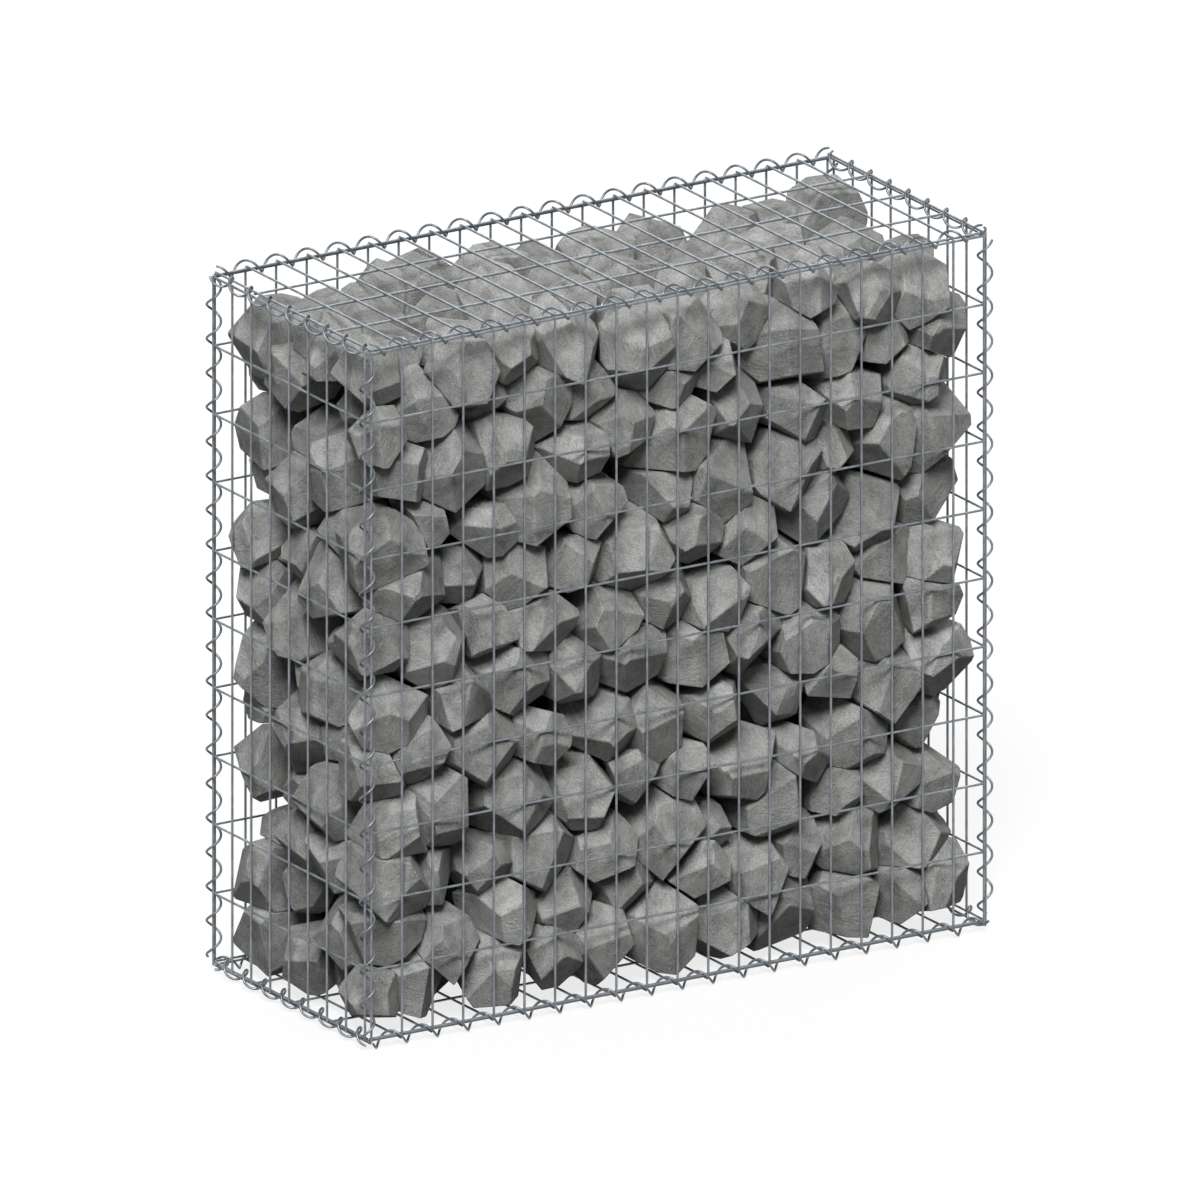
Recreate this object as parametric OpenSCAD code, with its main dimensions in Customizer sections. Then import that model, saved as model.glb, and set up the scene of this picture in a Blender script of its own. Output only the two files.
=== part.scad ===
// Free-standing gabion: a welded wire basket, laced along its edges
// with spiral binders and filled with broken rubble stone.

/* [Basket] */
// Length between the edge wires, left to right
basket_long = 1000; // [600:50:2000]
// Depth between the edge wires, front to back
basket_deep = 400; // [300:50:1000]
// Height between the edge wires
basket_high = 1000; // [500:50:1500]
// Stand-off of each panel from the edge wires of its neighbours
panel_stand = 5; // [4.5:0.1:6]

/* [Welded mesh] */
// Diameter of the mesh wire
wire_d = 3.5; // [2.5:0.1:4.5]
// Spacing of the close wires: uprights of the walls, cross wires of base and lid
close_gap = 50; // [40:1:100]
// Spacing of the wide wires, which run level
wide_gap = 100; // [60:1:150]
// Depth to which crossing wires are welded into each other
weld_sink = 0.7; // [0.4:0.1:1]
// Length of a close wire past the edge wire
close_tail = 4; // [2:0.1:4.3]
// Length of a wide wire past the edge wire
wide_tail = 1.5; // [0.5:0.1:1.5]

/* [Spiral binders] */
// Radius of the spiral at the middle of its wire
spiral_r = 10.4; // [10:0.1:12]
// Diameter of the spiral wire
spiral_wire = 3.5; // [2:0.1:4]
// Rise of the spiral in one turn
spiral_pitch = 50; // [40:1:80]
// Length by which an upright spiral stops short of the basket at each end
spiral_trim = 6; // [0:0.5:12]

/* [Stone fill] */
// Spacing of the stones along the wall
stone_w = 94; // [80:1:160]
// Depth of a layer of stones
stone_d = 100; // [80:1:130]
// Size of a stone from its middle to its broken faces
stone_r = 56; // [40:1:80]
// Gap left on each stone where it bears on the next one
stone_gap = 0.2; // [0.1:0.1:1]
// Clearance of the stones from the wires
wire_clear = 0.35; // [0.2:0.05:3]
// Drop of the top stones below the lid, at most
top_drop = 30; // [0:1:60]
// Number that picks the shapes of the stones
stone_seed = 11; // [1:1:99]

/* [Hidden] */

// Wires: few sides each, because there are hundreds of weld crossings
wire_sides = 6;
weld_rise = wire_d - weld_sink;
inner_plane = panel_stand - weld_rise / 2;
outer_plane = panel_stand + weld_rise / 2;

// Spirals: rings of a swept section, and how near a spiral lies to what it hangs on
rings_per_turn = 8;
section_sides = 4;
bind_clear = 0.2;
spiral_bore_r = spiral_r * cos(180 / rings_per_turn) - spiral_wire / 2;
wire_bearing = spiral_bore_r - wire_d / 2 - bind_clear;
tail_bearing = outer_plane + wire_d / 2 + bind_clear - spiral_bore_r;
mid_offset = inner_plane / 2;
top_rise = sqrt(pow(wire_bearing, 2) - pow(mid_offset, 2));
base_drop = sqrt(pow(wire_bearing, 2) - pow(inner_plane - tail_bearing, 2));

// The part stands on its lower long spirals
ground = base_drop + spiral_r + spiral_wire / 2;
half_long = basket_long / 2;
half_deep = basket_deep / 2;
mid_high = ground + basket_high / 2;
half_high = basket_high / 2;

// Stones stay inside the wires, and clear of the spirals along the edges
fill_stand = inner_plane - wire_d / 2 - wire_clear;
fill = [half_long, half_deep, half_high] + fill_stand * [1, 1, 1];
edge_clear = spiral_r + spiral_wire / 2 - mid_offset / 2 + fill_stand;
courses = 12;
steps_long = 2 * round(2 * fill.x / stone_w) - 1;
layers_deep = max(3, round(2 * fill.y / stone_d));
step = [2 * fill.x / steps_long, 2 * fill.y / layers_deep, 2 * fill.z / courses];
core = [fill.x - 2 * step.x, fill.y - step.y, fill.z - step.z];
reach = 2 * max(2 * step.x, step.y, step.z);

// Stones stray by shares of a step, and their broken faces vary by shares of their size
jitter_shares = [0.45, 0.3, 0.22];
size_shares = [0.75, 1.2];
face_shares = [0.7, 0.95];
turned_away_share = -0.15;
facets = 11;
golden_angle = 180 * (3 - sqrt(5));

steel = "#8b949b";
stone_greys = ["#7d7d7a", "#8a8986", "#737472", "#82817d"];

function unit(v) = v / norm(v);

// Welded mesh, flat in X and Y: close wires run along Y on the outer side, +Z
module wire(length) {
    rotate([0, 0, 30])
        cylinder(d = wire_d, h = length, center = true, $fn = wire_sides);
}

module mesh_panel(long, high) {
    close_count = max(1, round(long / close_gap));
    wide_count = max(1, round(high / wide_gap));
    color(steel) {
        for (c = [0 : close_count])
            translate([long * (c / close_count - 1 / 2), 0, weld_rise / 2])
                rotate([90, 0, 0]) wire(high + 2 * close_tail);
        for (w = [0 : wide_count])
            translate([0, high * (w / wide_count - 1 / 2), -weld_rise / 2])
                rotate([90, 0, 90]) wire(long + 2 * wide_tail);
    }
}

module wall_mesh(turn, long, out) {
    translate([0, 0, mid_high])
        rotate([0, 0, turn])
            translate([0, -out - panel_stand, 0])
                rotate([90, 0, 0]) mesh_panel(long, basket_high);
}

module front_mesh() wall_mesh(0, basket_long, half_deep);
module back_mesh() wall_mesh(180, basket_long, half_deep);
module left_mesh() wall_mesh(-90, basket_deep, half_long);
module right_mesh() wall_mesh(90, basket_deep, half_long);

module lid_mesh() {
    translate([0, 0, mid_high + half_high + panel_stand])
        mesh_panel(basket_long, basket_deep);
}

module base_mesh() {
    translate([0, 0, mid_high - half_high - panel_stand])
        rotate([180, 0, 0]) mesh_panel(basket_long, basket_deep);
}

// Right-handed spiral about Z, centred on the origin, that starts at the given angle
function helix_ring(angle, rise) =
    let (lead = spiral_pitch / (2 * PI),
         inward = [-cos(angle), -sin(angle), 0],
         along = unit([-spiral_r * sin(angle), spiral_r * cos(angle), lead]),
         side = cross(along, inward))
    [for (q = [0 : section_sides - 1])
        let (a = 360 * q / section_sides)
        [0, 0, rise] - spiral_r * inward + spiral_wire / 2 * (cos(a) * inward + sin(a) * side)];

module spiral(length, start_angle) {
    turns = length / spiral_pitch;
    last = round(turns * rings_per_turn);
    n = section_sides;
    points = [
        for (s = [0 : last])
            each helix_ring(start_angle + 360 * turns * s / last, length * (s / last - 1 / 2))
    ];
    start_cap = [for (q = [0 : n - 1]) q];
    end_cap = [for (q = [n - 1 : -1 : 0]) last * n + q];
    sides = [
        for (s = [0 : last - 1], q = [0 : n - 1])
            let (a = s * n + q, b = s * n + (q + 1) % n)
            each [[a, a + n, b], [b, a + n, b + n]]
    ];
    color(steel) polyhedron(points, concat([start_cap, end_cap], sides), convexity = 10);
}

// Upright spirals hang on the edge wire of the front or back panel
module upright_spiral(side_x, side_y, start_angle) {
    off = wire_bearing / sqrt(2);
    translate([side_x * (half_long + off), side_y * (half_deep + outer_plane - off), mid_high])
        spiral(basket_high - 2 * spiral_trim, start_angle + 360 * spiral_trim / spiral_pitch);
}

// Long spirals hang on the top or bottom wire of the front or back panel, and stand out past it
module long_spiral(side_y, side_z, out_y, out_z, start_angle) {
    translate([0, side_y * (half_deep + out_y), mid_high + side_z * (half_high + out_z)])
        rotate([90, 0, 90]) spiral(basket_long, start_angle);
}

// Short spirals hang on the outermost cross wire of the lid or base
module short_spiral(side_x, side_z, start_angle) {
    out_z = half_high + outer_plane - top_rise;
    translate([side_x * (half_long + mid_offset), 0, mid_high + side_z * out_z])
        rotate([0, 90, 90]) spiral(basket_deep, start_angle);
}

module front_left_spiral() upright_spiral(-1, -1, 150);
module front_right_spiral() upright_spiral(1, -1, 0);
module back_left_spiral() upright_spiral(-1, 1, 70);
module back_right_spiral() upright_spiral(1, 1, 335);
module top_front_spiral() long_spiral(-1, 1, mid_offset, top_rise, 90);
module top_back_spiral() long_spiral(1, 1, mid_offset, top_rise, 90);
module bottom_front_spiral() long_spiral(-1, -1, tail_bearing, base_drop, 180);
module bottom_back_spiral() long_spiral(1, -1, tail_bearing, base_drop, 0);
module top_left_spiral() short_spiral(-1, 1, 105);
module top_right_spiral() short_spiral(1, 1, 195);
module bottom_left_spiral() short_spiral(-1, -1, 15);
module bottom_right_spiral() short_spiral(1, -1, 285);

// Stones sit on a staggered lattice of steps, with every second place taken
function between(shares, r) = shares[0] + (shares[1] - shares[0]) * r;
function row_start(i) = (i.y + i.z) % 2;
function row_end(i) = steps_long - 1 - row_start(i);
function in_row(i) = i.x >= row_start(i) && i.x <= row_end(i);
function in_fill(i) =
    in_row(i) && i.y >= 0 && i.y < layers_deep && i.z >= 0 && i.z < courses;
function hidden(i) =
    i.x > row_start(i) && i.x < row_end(i)
    && i.y > 0 && i.y < layers_deep - 1 && i.z > 0 && i.z < courses - 1;
neighbours = [
    for (x = [-3 : 3], y = [-2 : 2], z = [-2 : 2])
        let (far = x * x + 4 * (y * y + z * z))
        if ((x + y + z) % 2 == 0 && far > 0 && far < 17) [x, y, z]
];

// Every stone has its own random numbers, for its place, drop, size, grey, turn and faces
function draw(i) =
    rands(0, 1, 9 + 2 * facets, stone_seed + 3 * i.x + 71 * i.y + 613 * i.z);

// The middle of a stone is at least its own size away from the mesh
function radius(i) = stone_r * between(size_shares, draw(i)[4]);
function site(i) =
    let (r = draw(i),
         room = fill - radius(i) * [1, 1, 1],
         drop = i.z == courses - 1 ? top_drop * r[3] : 0)
    [for (a = [0 : 2])
        let (place = step[a] * (i[a] + 1 / 2 + jitter_shares[a] * (2 * r[a] - 1)) - fill[a])
        max(-room[a], min(room[a], place)) - (a == 2 ? drop : 0)];

// Sides of the fill that a stone faces, as outward unit vectors
function faced_sides(i) = [
    if (i.x == row_start(i)) [-1, 0, 0],
    if (i.x == row_end(i)) [1, 0, 0],
    if (i.y == 0) [0, -1, 0],
    if (i.y == layers_deep - 1) [0, 1, 0],
    if (i.z == 0) [0, 0, -1],
    if (i.z == courses - 1) [0, 0, 1]
];

// Every plane is its distance from the middle of the stone and its outward normal.
// Where two stones meet, the larger one takes more of the room between them.
function shared_planes(i) =
    let (c = site(i), own = pow(radius(i), 2))
    [for (o = neighbours) if (in_fill(i + o) && !hidden(i + o))
        let (to = site(i + o) - c, far = norm(to))
        [(far + (own - pow(radius(i + o), 2)) / far) / 2 - stone_gap, to / far]];

// A stone next to the core bears on the core's flat side
function core_planes(i) =
    let (to_core = len([for (o = neighbours) if (hidden(i + o)) o]) > 0,
         c = site(i),
         on_y = i.y == 0 || i.y == layers_deep - 1,
         on_z = i.z == 0 || i.z == courses - 1,
         axis = on_y ? [0, 1, 0] : on_z ? [0, 0, 1] : [1, 0, 0],
         out = sign(c * axis) * axis)
    to_core ? [[abs(c * axis) - core * axis - stone_gap, -out]] : [];

// Broken faces all round, but for those turned away from the mesh
function broken_planes(i, outs) =
    let (r = draw(i),
         pole = unit([for (a = [6 : 8]) 2 * r[a] - 1]),
         side = unit(cross(pole, [pole.y, pole.z, pole.x + 1])),
         up = cross(pole, side))
    [for (f = [0 : facets - 1])
        let (rise = 1 - 2 * (f + r[9 + f]) / facets,
             a = golden_angle * f,
             n = rise * pole + sqrt(1 - rise * rise) * (cos(a) * side + sin(a) * up))
        if (max([for (out = outs) n * out]) > turned_away_share)
            [radius(i) * between(face_shares, r[9 + facets + f]), n]];

// The flat of the mesh, where a corner of a stone would reach through it
function mesh_planes(i, outs) = [
    for (out = outs) [fill * [for (v = out) abs(v)] - site(i) * out, out]
];

// Bevels keep the edge stones out of the spirals
function edge_planes(i, outs) = [
    for (a = [0 : 1 : len(outs) - 2], b = [a + 1 : 1 : len(outs) - 1])
        let (s = outs[a] + outs[b], n = unit(s), edge = [s.x * fill.x, s.y * fill.y, s.z * fill.z])
        [(edge - site(i)) * n - edge_clear, n]
];

function stone_planes(i) =
    let (outs = faced_sides(i))
    concat(
        shared_planes(i), core_planes(i), mesh_planes(i, outs),
        edge_planes(i, outs), broken_planes(i, outs)
    );

// All that lies below a plane at the given height along its normal
module half_space(height, n) {
    x = unit(cross(abs(n.z) < 1 / 2 ? [0, 0, 1] : [1, 0, 0], n));
    y = cross(n, x);
    multmatrix([[x.x, y.x, n.x, 0], [x.y, y.y, n.y, 0], [x.z, y.z, n.z, 0]])
        translate([-reach, -reach, height - 2 * reach]) cube(2 * reach);
}

module stone(i) {
    color(stone_greys[floor(len(stone_greys) * draw(i)[5])])
        translate(site(i) + [0, 0, mid_high])
            intersection_for (plane = stone_planes(i)) half_space(plane[0], plane[1]);
}

module stone_course(k) {
    for (j = [0 : layers_deep - 1], m = [0 : steps_long - 1]) {
        i = [m, j, k];
        if ((m + j + k) % 2 == 0 && in_fill(i) && !hidden(i)) stone(i);
    }
}

// The rubble in the middle, as one plain block behind the stones that show
module rubble_core() {
    color(stone_greys[2]) translate([0, 0, mid_high]) cube(2 * core, center = true);
}

front_mesh();
back_mesh();
left_mesh();
right_mesh();
base_mesh();
lid_mesh();
front_left_spiral();
front_right_spiral();
back_left_spiral();
back_right_spiral();
top_front_spiral();
top_back_spiral();
top_left_spiral();
top_right_spiral();
bottom_front_spiral();
bottom_back_spiral();
bottom_left_spiral();
bottom_right_spiral();
stone_course(0);  // stone_course_01
stone_course(1);  // stone_course_02
stone_course(2);  // stone_course_03
stone_course(3);  // stone_course_04
stone_course(4);  // stone_course_05
stone_course(5);  // stone_course_06
stone_course(6);  // stone_course_07
stone_course(7);  // stone_course_08
stone_course(8);  // stone_course_09
stone_course(9);  // stone_course_10
stone_course(10);  // stone_course_11
stone_course(11);  // stone_course_12
rubble_core();
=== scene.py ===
import math
import random

import bmesh
import bpy
from mathutils import Euler, Matrix, Vector


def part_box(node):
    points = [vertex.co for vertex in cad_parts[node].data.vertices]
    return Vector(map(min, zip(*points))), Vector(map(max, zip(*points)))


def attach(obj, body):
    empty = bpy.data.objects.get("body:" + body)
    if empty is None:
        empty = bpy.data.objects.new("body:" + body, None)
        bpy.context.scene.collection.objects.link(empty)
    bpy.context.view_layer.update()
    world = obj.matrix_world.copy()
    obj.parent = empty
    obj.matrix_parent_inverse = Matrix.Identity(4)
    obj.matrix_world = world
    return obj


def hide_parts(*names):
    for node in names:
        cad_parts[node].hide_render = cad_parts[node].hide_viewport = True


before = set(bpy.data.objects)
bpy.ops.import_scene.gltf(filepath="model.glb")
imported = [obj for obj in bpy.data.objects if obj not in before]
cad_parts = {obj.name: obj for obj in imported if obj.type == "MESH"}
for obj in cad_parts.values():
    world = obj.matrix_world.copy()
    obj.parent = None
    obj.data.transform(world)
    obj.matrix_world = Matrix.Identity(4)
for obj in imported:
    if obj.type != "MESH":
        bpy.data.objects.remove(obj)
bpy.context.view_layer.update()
mm = 0.001
noiseSpan = (0.3, 0.7)  # nearly all values of a noise texture lie between these
crispDeg = 60  # edges of wire sharper than this stay crisp


def toLinear(hexColour):  # sRGB hex to the linear colour that a shader takes
    parts = [int(hexColour[k:k + 2], 16) / 255 for k in (1, 3, 5)]
    return [c / 12.92 if c <= 0.04045 else ((c + 0.055) / 1.055) ** 2.4 for c in parts] + [1]


def addNode(tree, kind, settings, inputs):  # a socket as a value makes a link
    node = tree.nodes.new(kind)
    for name, value in settings.items():
        setattr(node, name, value)
    for name, value in inputs.items():
        if isinstance(value, bpy.types.NodeSocket):
            tree.links.new(value, node.inputs[name])
        else:
            node.inputs[name].default_value = value
    return node


def startMaterial(name):
    material = bpy.data.materials.new(name)
    material.use_nodes = True
    material.node_tree.nodes.clear()
    return material, material.node_tree


def perSize(sizeMm):  # texture scale that gives a feature of this size
    return 1 / (sizeMm * mm)


def finishPiece(bm, name, material, node):
    mesh = bpy.data.meshes.new(name)
    bm.to_mesh(mesh)
    bm.free()
    mesh.materials.append(material)
    piece = bpy.data.objects.new(name, mesh)
    bpy.context.scene.collection.objects.link(piece)
    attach(piece, "root")
    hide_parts(node)
    return piece


def finishWire(bm, name, material, node):  # round sides smooth, cut ends crisp
    for face in bm.faces:
        face.smooth = True
    piece = finishPiece(bm, name, material, node)
    piece.data.set_sharp_from_angle(angle=math.radians(crispDeg))


# Drawn steel wire, hot-dip galvanised: a dull blue-grey zinc skin with paler patches of dry bloom,
# which takes the light softly along the side of each wire that faces it.
meshZinc = {
    "name": "galvanised_mesh_wire", "zinc": "#7b8288", "bloom": "#8c9297", "bloomMm": 14,
    "grainMm": 1.6, "roughness": (0.34, 0.46), "metal": (0.7, 0.5), "bumpMm": 0.05,
}
# Spring wire with a thin dull zinc coat: a plainer, deeper grey with broad soft highlights, so that
# its turns stand out against the bright room.
springZinc = {
    "name": "galvanised_spring_wire", "zinc": "#666b70", "bloom": "#7a7f84", "bloomMm": 18,
    "grainMm": 1.6, "roughness": (0.34, 0.46), "metal": (0.75, 0.55), "bumpMm": 0.03,
}
zincNoise = {"bloomDetail": 3, "bloomFrom": 0.38, "bloomFull": 0.66, "grainDetail": 2}


def zincWire(look):
    material, tree = startMaterial(look["name"])
    place = addNode(tree, "ShaderNodeTexCoord", {}, {})
    bloom = addNode(tree, "ShaderNodeTexNoise", {}, {
        "Vector": place.outputs["Object"], "Scale": perSize(look["bloomMm"]),
        "Detail": zincNoise["bloomDetail"]})
    grain = addNode(tree, "ShaderNodeTexNoise", {}, {
        "Vector": place.outputs["Object"], "Scale": perSize(look["grainMm"]),
        "Detail": zincNoise["grainDetail"]})
    patch = addNode(tree, "ShaderNodeMapRange", {"interpolation_type": "SMOOTHSTEP"}, {
        "Value": bloom.outputs["Fac"], "From Min": zincNoise["bloomFrom"],
        "From Max": zincNoise["bloomFull"]})
    colour = addNode(tree, "ShaderNodeMix", {"data_type": "RGBA"}, {
        0: patch.outputs["Result"], 6: toLinear(look["zinc"]), 7: toLinear(look["bloom"])})
    rough = addNode(tree, "ShaderNodeMapRange", {}, {
        "Value": grain.outputs["Fac"], "From Min": noiseSpan[0], "From Max": noiseSpan[1],
        "To Min": look["roughness"][0], "To Max": look["roughness"][1]})
    metal = addNode(tree, "ShaderNodeMapRange", {}, {
        "Value": patch.outputs["Result"], "To Min": look["metal"][0], "To Max": look["metal"][1]})
    bump = addNode(tree, "ShaderNodeBump", {}, {
        "Height": grain.outputs["Fac"], "Strength": 1, "Distance": look["bumpMm"] * mm})
    shader = addNode(tree, "ShaderNodeBsdfPrincipled", {}, {
        "Base Color": colour.outputs[2], "Roughness": rough.outputs["Result"],
        "Normal": bump.outputs["Normal"], "Metallic": metal.outputs["Result"]})
    addNode(tree, "ShaderNodeOutputMaterial", {}, {"Surface": shader.outputs["BSDF"]})
    return material


# Welded mesh, sizes in mm: close wires outside, wide wires inside, pressed together at the welds
meshLook = {"wire": 3.5, "sides": 12, "closeGap": 50, "wideGap": 100, "wideTail": 1.5, "bead": 3.9}
panels = [  # node, outward direction, run of the close wires
    ("front_mesh", (0, -1, 0), (0, 0, 1)), ("back_mesh", (0, 1, 0), (0, 0, 1)),
    ("left_mesh", (-1, 0, 0), (0, 0, 1)), ("right_mesh", (1, 0, 0), (0, 0, 1)),
    ("base_mesh", (0, 0, -1), (0, 1, 0)), ("lid_mesh", (0, 0, 1), (0, 1, 0)),
]


def layWire(bm, look, middle, run, length):
    turn = run.to_track_quat("Z", "Y").to_matrix().to_4x4()
    bmesh.ops.create_cone(
        bm, cap_ends=True, segments=look["sides"], radius1=look["wire"] * mm / 2,
        radius2=look["wire"] * mm / 2, depth=length, matrix=Matrix.Translation(middle) @ turn)


def weldedPanel(node, outward, closeRun, look):
    outward, closeRun = Vector(outward), Vector(closeRun)
    wideRun = closeRun.cross(outward)
    low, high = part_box(node)
    middle, size = (low + high) / 2, high - low
    deep, closeLong, wideLong = (abs(size.dot(way)) for way in (outward, closeRun, wideRun))
    rise = outward * (deep - look["wire"] * mm) / 2
    closeGap, wideGap = look["closeGap"] * mm, look["wideGap"] * mm
    closeCount, wideCount = round(wideLong / closeGap), round(closeLong / wideGap)
    closeAt = [wideRun * closeGap * (k - closeCount / 2) for k in range(closeCount + 1)]
    wideAt = [closeRun * wideGap * (k - wideCount / 2) for k in range(wideCount + 1)]
    wideWireLong = closeCount * closeGap + 2 * look["wideTail"] * mm
    bm = bmesh.new()
    for offset in closeAt:
        layWire(bm, look, middle + offset + rise, closeRun, closeLong)
    for offset in wideAt:
        layWire(bm, look, middle + offset - rise, wideRun, wideWireLong)
    for across in closeAt:
        for along in wideAt:  # a small bead of metal squeezed out at every weld
            bmesh.ops.create_icosphere(
                bm, subdivisions=1, radius=look["bead"] * mm / 2,
                matrix=Matrix.Translation(middle + across + along))
    finishWire(bm, node + "_wires", meshWire, node)


meshWire = zincWire(meshZinc)
for node, outward, closeRun in panels:
    weldedPanel(node, outward, closeRun, meshLook)
print("welded mesh panels:", len(panels))


# Spiral binders, sizes in mm: one round wire wound right-handed, with cut ends at the corners
spiralLook = {"radius": 10, "wire": 3.5, "pitch": 50, "sides": 10, "stepsPerTurn": 32, "trim": 6}
spiralWays = {  # turn a spiral wound about Z to lie along its edge
    "upright": Matrix(((1, 0, 0), (0, 1, 0), (0, 0, 1))),
    "long": Matrix(((0, 0, 1), (1, 0, 0), (0, 1, 0))),
    "short": Matrix(((0, -1, 0), (0, 0, 1), (-1, 0, 0))),
}
trimTurn = 360 * spiralLook["trim"] / spiralLook["pitch"]
spirals = [  # node, way it lies, angle in degrees at which its wire starts
    ("front_left_spiral", "upright", 150 + trimTurn),
    ("front_right_spiral", "upright", trimTurn),
    ("back_left_spiral", "upright", 70 + trimTurn),
    ("back_right_spiral", "upright", 335 + trimTurn),
    ("top_front_spiral", "long", 90), ("top_back_spiral", "long", 90),
    ("bottom_front_spiral", "long", 180), ("bottom_back_spiral", "long", 0),
    ("top_left_spiral", "short", 105), ("top_right_spiral", "short", 195),
    ("bottom_left_spiral", "short", 15), ("bottom_right_spiral", "short", 285),
]


def woundSpiral(node, way, startAngle, look, length):
    low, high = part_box(node)
    radius, pitch = look["radius"] * mm, look["pitch"] * mm
    turns = length / pitch
    steps = round(turns * look["stepsPerTurn"])
    climb = math.atan2(pitch, 2 * math.pi * radius)
    tilt = Matrix.Rotation(math.radians(90) + climb, 4, "X")
    bm = bmesh.new()
    section = bmesh.ops.create_circle(
        bm, segments=look["sides"], radius=look["wire"] * mm / 2,
        matrix=Matrix.Translation((radius, 0, 0)) @ tilt)
    bmesh.ops.spin(
        bm, geom=section["verts"] + bm.edges[:], cent=(0, 0, 0), axis=(0, 0, 1),
        dvec=(0, 0, length / steps), angle=2 * math.pi * turns, steps=steps)
    bmesh.ops.holes_fill(bm, edges=[e for e in bm.edges if e.is_boundary], sides=look["sides"])
    bmesh.ops.recalc_face_normals(bm, faces=bm.faces)
    bmesh.ops.translate(bm, verts=bm.verts, vec=(0, 0, -length / 2))
    bmesh.ops.rotate(
        bm, verts=bm.verts, cent=(0, 0, 0),
        matrix=Matrix.Rotation(math.radians(startAngle), 3, "Z"))
    bmesh.ops.transform(
        bm, verts=bm.verts, matrix=Matrix.Translation((low + high) / 2) @ way.to_4x4())
    finishWire(bm, node + "_wire", springWire, node)


springWire = zincWire(springZinc)
basketLow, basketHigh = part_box("front_mesh")
sideLow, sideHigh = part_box("left_mesh")
meshGap = meshLook["closeGap"] * mm
basketLong = round((basketHigh.x - basketLow.x) / meshGap) * meshGap
basketHeight = round((basketHigh.z - basketLow.z) / meshGap) * meshGap
basketDeep = round((sideHigh.y - sideLow.y) / meshGap) * meshGap
spiralLengths = {
    "upright": basketHeight - 2 * spiralLook["trim"] * mm, "long": basketLong, "short": basketDeep}
for node, way, startAngle in spirals:
    woundSpiral(node, spiralWays[way], startAngle, spiralLook, spiralLengths[way])
print("spiral binders:", len(spirals))


# Quarry-broken stone, split along faint layers: matte grey with a sandy grain all over,
# a little mottled, with fine streaks on every face that run another way on each stone.
stoneLook = {
    "name": "split_grey_stone", "dark": "#6b6b6a", "light": "#adadab",
    "mottleMm": 34, "mottleDetail": 4, "mottleRough": 0.6,
    "streakMm": 16, "streakDetail": 5, "streakRough": 0.62, "streakWarp": 0.6,
    "streakShape": (1, 1, 4), "streakShare": 0.5, "streakBumpMm": 1.5,
    "gritMm": 2.4, "gritDetail": 3, "gritRough": 0.6, "gritShare": 1, "gritBumpMm": 1.6,
    "unevenMm": 20, "unevenDetail": 2, "unevenBumpMm": 1.1,
    "darkAt": 0.9, "lightAt": 1.6, "roughness": (0.8, 0.95), "specular": 0.1,
    "toneSpread": 0.12, "edgeMm": 1.2, "seamMm": 0.02, "mergeMm": 2.4, "flatDeg": 3, "seed": 5,
}


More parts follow.
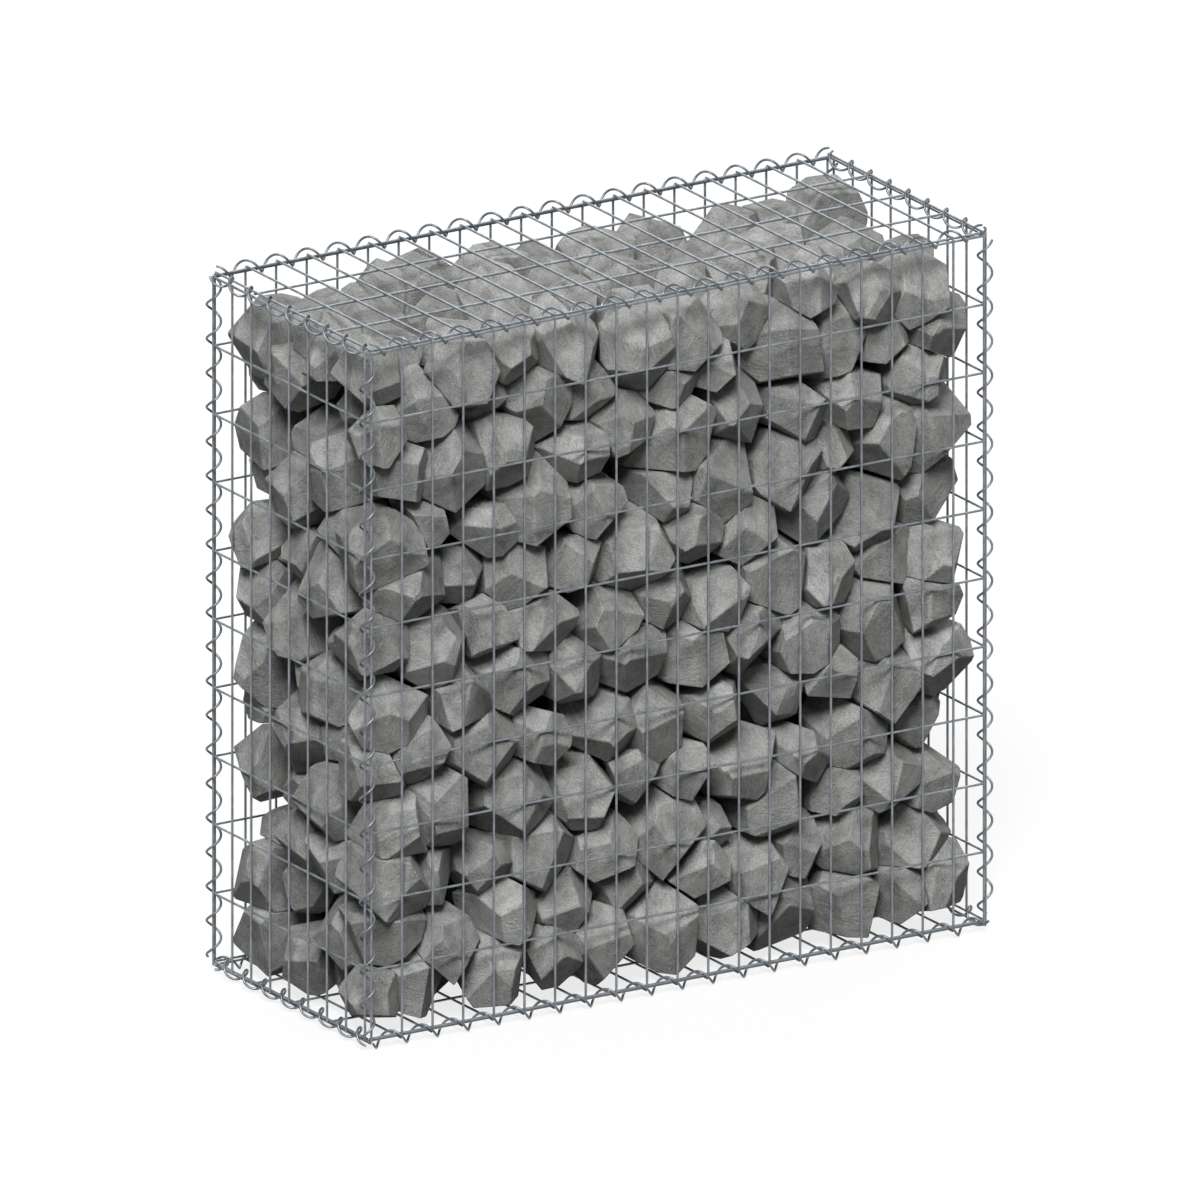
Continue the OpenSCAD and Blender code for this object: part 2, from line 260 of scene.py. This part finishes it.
def splitStone(look):
    material, tree = startMaterial(look["name"])
    place = addNode(tree, "ShaderNodeTexCoord", {}, {})
    bedding = addNode(tree, "ShaderNodeAttribute", {"attribute_name": "bedding"}, {})
    tone = addNode(tree, "ShaderNodeAttribute", {"attribute_name": "stoneTone"}, {})
    turned = addNode(tree, "ShaderNodeVectorRotate", {"rotation_type": "EULER_XYZ"}, {
        "Vector": place.outputs["Object"], "Rotation": bedding.outputs["Vector"]})
    layered = addNode(tree, "ShaderNodeMapping", {}, {
        "Vector": turned.outputs["Vector"], "Scale": look["streakShape"]})
    mottle = addNode(tree, "ShaderNodeTexNoise", {}, {
        "Vector": turned.outputs["Vector"], "Scale": perSize(look["mottleMm"]),
        "Detail": look["mottleDetail"], "Roughness": look["mottleRough"]})
    streak = addNode(tree, "ShaderNodeTexNoise", {}, {
        "Vector": layered.outputs["Vector"], "Scale": perSize(look["streakMm"]),
        "Detail": look["streakDetail"], "Roughness": look["streakRough"],
        "Distortion": look["streakWarp"]})
    grit = addNode(tree, "ShaderNodeTexNoise", {}, {
        "Vector": turned.outputs["Vector"], "Scale": perSize(look["gritMm"]),
        "Detail": look["gritDetail"], "Roughness": look["gritRough"]})
    uneven = addNode(tree, "ShaderNodeTexNoise", {}, {
        "Vector": turned.outputs["Vector"], "Scale": perSize(look["unevenMm"]),
        "Detail": look["unevenDetail"]})
    blotch = addNode(tree, "ShaderNodeMath", {"operation": "MULTIPLY_ADD"}, {
        0: streak.outputs["Fac"], 1: look["streakShare"], 2: mottle.outputs["Fac"]})
    speck = addNode(tree, "ShaderNodeMath", {"operation": "MULTIPLY_ADD"}, {
        0: grit.outputs["Fac"], 1: look["gritShare"], 2: blotch.outputs["Value"]})
    lightness = addNode(tree, "ShaderNodeMapRange", {}, {
        "Value": speck.outputs["Value"], "From Min": look["darkAt"], "From Max": look["lightAt"]})
    grey = addNode(tree, "ShaderNodeMix", {"data_type": "RGBA"}, {
        0: lightness.outputs["Result"], 6: toLinear(look["dark"]), 7: toLinear(look["light"])})
    toned = addNode(tree, "ShaderNodeVectorMath", {"operation": "SCALE"}, {
        0: grey.outputs[2], "Scale": tone.outputs["Fac"]})
    rough = addNode(tree, "ShaderNodeMapRange", {}, {
        "Value": streak.outputs["Fac"], "From Min": noiseSpan[0], "From Max": noiseSpan[1],
        "To Min": look["roughness"][0], "To Max": look["roughness"][1]})
    broken = addNode(tree, "ShaderNodeBump", {}, {
        "Height": uneven.outputs["Fac"], "Strength": 1, "Distance": look["unevenBumpMm"] * mm})
    gritty = addNode(tree, "ShaderNodeBump", {}, {
        "Height": grit.outputs["Fac"], "Strength": 1, "Distance": look["gritBumpMm"] * mm,
        "Normal": broken.outputs["Normal"]})
    relief = addNode(tree, "ShaderNodeBump", {}, {
        "Height": streak.outputs["Fac"], "Strength": 1, "Distance": look["streakBumpMm"] * mm,
        "Normal": gritty.outputs["Normal"]})
    shader = addNode(tree, "ShaderNodeBsdfPrincipled", {}, {
        "Base Color": toned.outputs["Vector"], "Roughness": rough.outputs["Result"],
        "Normal": relief.outputs["Normal"], "Specular IOR Level": look["specular"]})
    addNode(tree, "ShaderNodeOutputMaterial", {}, {"Surface": shader.outputs["BSDF"]})
    return material


def eachStone(bm):  # the separate stones of a course, as lists of corners
    bm.verts.index_update()
    left = set(bm.verts)
    stones = []
    for start in bm.verts:
        if start in left:
            left.remove(start)
            found = [start]
            for corner in found:
                fresh = [edge.other_vert(corner) for edge in corner.link_edges]
                fresh = [other for other in fresh if other in left]
                left.difference_update(fresh)
                found.extend(fresh)
            stones.append(sorted(found, key=lambda corner: corner.index))
    return stones


def edgesOf(corners):  # in a fixed order, so that each run gives the same stones
    whole = [corner for corner in corners if corner.is_valid]
    found = {edge.index: edge for corner in whole for edge in corner.link_edges}
    return [found[k] for k in sorted(found)]


def stoneCourse(node, look, chance):
    bm = bmesh.new()
    bm.from_mesh(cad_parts[node].data)
    bmesh.ops.remove_doubles(bm, verts=bm.verts, dist=look["seamMm"] * mm)
    toneLayer = bm.faces.layers.float.new("stoneTone")
    beddingLayer = bm.faces.layers.float_vector.new("bedding")
    stones = eachStone(bm)
    for corners in stones:
        bmesh.ops.remove_doubles(bm, verts=corners, dist=look["mergeMm"] * mm)
        corners = [corner for corner in corners if corner.is_valid]
        bm.edges.index_update()
        bmesh.ops.dissolve_limit(
            bm, angle_limit=math.radians(look["flatDeg"]), verts=corners, edges=edgesOf(corners))
        bm.edges.index_update()
        chamfers = bmesh.ops.bevel(
            bm, geom=edgesOf(corners), offset=look["edgeMm"] * mm, offset_type="OFFSET", segments=1,
            profile=0.5, affect="EDGES", material=-1, clamp_overlap=True)["faces"]
        tone = 1 + look["toneSpread"] * chance.uniform(-1, 1)
        bedding = Vector([chance.uniform(-math.pi, math.pi) for axis in range(3)])
        touched = {corner for face in chamfers for corner in face.verts}
        for face in {face for corner in touched for face in corner.link_faces}:
            face[toneLayer] = tone
            face[beddingLayer] = bedding
    piece = finishPiece(bm, node + "_stones", stoneSplit, node)
    return len(stones), len(piece.data.polygons)


stoneSplit = splitStone(stoneLook)
chance = random.Random(stoneLook["seed"])
courses = sorted(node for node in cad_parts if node.startswith("stone_course"))
counts = [stoneCourse(node, stoneLook, chance) for node in courses]
print("stones:", sum(count[0] for count in counts), "faces:", sum(count[1] for count in counts))


# The rubble deeper in, which only shows dark between the front stones. Its stone and gap colours
# are painted shade: they are near black, for the shade that falls deep between the stones
coreLook = {
    "name": "rubble_core_painted_shade", "stone": "#242524", "gapShade": "#111111", "stoneMm": 95, "bumpMm": 18,
    "gapUpTo": 0.02, "stoneFrom": 0.2, "roughness": 0.9, "specular": 0.1,
}


def rubbleCoreInPaintedShade(look):
    material, tree = startMaterial(look["name"])
    place = addNode(tree, "ShaderNodeTexCoord", {}, {})
    pile = addNode(tree, "ShaderNodeTexVoronoi", {"feature": "DISTANCE_TO_EDGE"}, {
        "Vector": place.outputs["Object"], "Scale": perSize(look["stoneMm"])})
    stone = addNode(tree, "ShaderNodeMapRange", {}, {
        "Value": pile.outputs["Distance"], "From Min": look["gapUpTo"],
        "From Max": look["stoneFrom"]})
    # painted shade: the near-black stone colour and the blacker gaps between the cells stand in for
    # the shade deep in the fill
    colour = addNode(tree, "ShaderNodeMix", {"data_type": "RGBA"}, {
        0: stone.outputs["Result"], 6: toLinear(look["gapShade"]), 7: toLinear(look["stone"])})
    bump = addNode(tree, "ShaderNodeBump", {}, {
        "Height": pile.outputs["Distance"], "Strength": 1, "Distance": look["bumpMm"] * mm})
    shader = addNode(tree, "ShaderNodeBsdfPrincipled", {}, {
        "Base Color": colour.outputs[2], "Normal": bump.outputs["Normal"],
        "Roughness": look["roughness"], "Specular IOR Level": look["specular"]})
    addNode(tree, "ShaderNodeOutputMaterial", {}, {"Surface": shader.outputs["BSDF"]})
    return material


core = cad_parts["rubble_core"]
core.data.materials.clear()
core.data.materials.append(rubbleCoreInPaintedShade(coreLook))
print("rubble core dressed")


# Photo room with a white ceiling and greyer walls: it shows bright to the camera and to shiny
# wire, and lights the object softly from above
roomLook = {
    "ceiling": "#ffffff", "wall": "#808080", "ceilingFrom": 0.45, "skyLight": 0.25,
    "floorSeen": "#e9e9e7", "floorBounce": "#50504f", "floorWhite": 0.8, "floorSize": 30,
}
# A soft key lamp from beside the camera, and a weaker one from behind that catches the lid
keyLook = {"name": "softKey", "azimuth": -38, "elevation": 48, "strength": 4.1, "spreadDeg": 24}
rimLook = {"name": "softRim", "azimuth": 148, "elevation": 40, "strength": 1.6, "spreadDeg": 40}


def seenDirectly(tree):  # 1 for rays that show the room itself, 0 for those that light the object
    path = addNode(tree, "ShaderNodeLightPath", {}, {})
    shiny = addNode(tree, "ShaderNodeMath", {"operation": "MAXIMUM"}, {
        0: path.outputs["Is Glossy Ray"], 1: path.outputs["Is Transmission Ray"]})
    return addNode(tree, "ShaderNodeMath", {"operation": "MAXIMUM"}, {
        0: path.outputs["Is Camera Ray"], 1: shiny.outputs["Value"]}).outputs["Value"]


def whiteRoom(look):
    world = bpy.data.worlds.new("white_room")
    bpy.context.scene.world = world
    world.use_nodes = True
    tree = world.node_tree
    tree.nodes.clear()
    place = addNode(tree, "ShaderNodeTexCoord", {}, {})
    way = addNode(tree, "ShaderNodeSeparateXYZ", {}, {"Vector": place.outputs["Generated"]})
    height = addNode(tree, "ShaderNodeMapRange", {"interpolation_type": "SMOOTHSTEP"}, {
        "Value": way.outputs["Z"], "From Min": 0, "From Max": look["ceilingFrom"]})
    room = addNode(tree, "ShaderNodeMix", {"data_type": "RGBA"}, {
        0: height.outputs["Result"], 6: toLinear(look["wall"]), 7: toLinear(look["ceiling"])})
    sky = addNode(tree, "ShaderNodeBackground", {}, {
        "Color": room.outputs[2], "Strength": look["skyLight"]})
    white = addNode(tree, "ShaderNodeBackground", {}, {"Color": room.outputs[2], "Strength": 1})
    both = addNode(tree, "ShaderNodeMixShader", {}, {
        0: seenDirectly(tree), 1: sky.outputs["Background"], 2: white.outputs["Background"]})
    addNode(tree, "ShaderNodeOutputWorld", {}, {"Surface": both.outputs["Shader"]})


# Matte pale floor: white to the camera and to shiny wire with the object's shadow on it, but dark
# to the light that it throws back, so that the undersides stay in shade
def paleFloor(look):
    material, tree = startMaterial("pale_floor")
    seen = seenDirectly(tree)
    colour = addNode(tree, "ShaderNodeMix", {"data_type": "RGBA"}, {
        0: seen, 6: toLinear(look["floorBounce"]), 7: toLinear(look["floorSeen"])})
    matte = addNode(tree, "ShaderNodeBsdfDiffuse", {}, {"Color": colour.outputs[2]})
    white = addNode(tree, "ShaderNodeEmission", {}, {"Strength": 1})
    share = addNode(tree, "ShaderNodeMath", {"operation": "MULTIPLY"}, {
        0: seen, 1: look["floorWhite"]})
    both = addNode(tree, "ShaderNodeMixShader", {}, {
        0: share.outputs["Value"], 1: matte.outputs["BSDF"], 2: white.outputs["Emission"]})
    addNode(tree, "ShaderNodeOutputMaterial", {}, {"Surface": both.outputs["Shader"]})
    bm = bmesh.new()
    bmesh.ops.create_grid(bm, x_segments=1, y_segments=1, size=look["floorSize"] / 2)
    mesh = bpy.data.meshes.new("floor")
    bm.to_mesh(mesh)
    bm.free()
    mesh.materials.append(material)
    floor = bpy.data.objects.new("floor", mesh)
    bpy.context.scene.collection.objects.link(floor)


def towards(azimuth, elevation):  # unit vector from the object to the camera or lamp
    turn = Euler((math.radians(-elevation), 0, math.radians(azimuth)))
    return turn.to_matrix() @ Vector((0, -1, 0))


def softLamp(look):
    lamp = bpy.data.lights.new(look["name"], "SUN")
    lamp.energy = look["strength"]
    lamp.angle = math.radians(look["spreadDeg"])
    holder = bpy.data.objects.new(look["name"], lamp)
    away = -towards(look["azimuth"], look["elevation"])
    holder.rotation_euler = away.to_track_quat("-Z", "Y").to_euler()
    bpy.context.scene.collection.objects.link(holder)


whiteRoom(roomLook)
paleFloor(roomLook)
softLamp(keyLook)
softLamp(rimLook)
print("room and light ready")


# The photo has no perspective: the camera is orthographic, from the front left and above. Its
# distance and clip end are in metres.
cameraLook = {
    "azimuth": -31.75, "elevation": 18.2, "pixelsPerMm": 0.7205, "imagePixels": 1200,
    "shiftPixels": (0.6, -1.4), "distance": 5, "clipEnd": 50,
}


def photoCamera(look):
    view = bpy.data.cameras.new("photoCamera")
    view.type = "ORTHO"
    view.ortho_scale = look["imagePixels"] / look["pixelsPerMm"] * mm
    view.shift_x, view.shift_y = (pixels / look["imagePixels"] for pixels in look["shiftPixels"])
    view.clip_end = look["clipEnd"]
    back = towards(look["azimuth"], look["elevation"])
    camera = bpy.data.objects.new("photoCamera", view)
    low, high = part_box("front_mesh")
    camera.location = Vector((0, 0, (low.z + high.z) / 2)) + back * look["distance"]
    camera.rotation_euler = (-back).to_track_quat("-Z", "Y").to_euler()
    bpy.context.scene.collection.objects.link(camera)
    bpy.context.scene.camera = camera


photoCamera(cameraLook)
bpy.context.scene.view_settings.view_transform = "Standard"
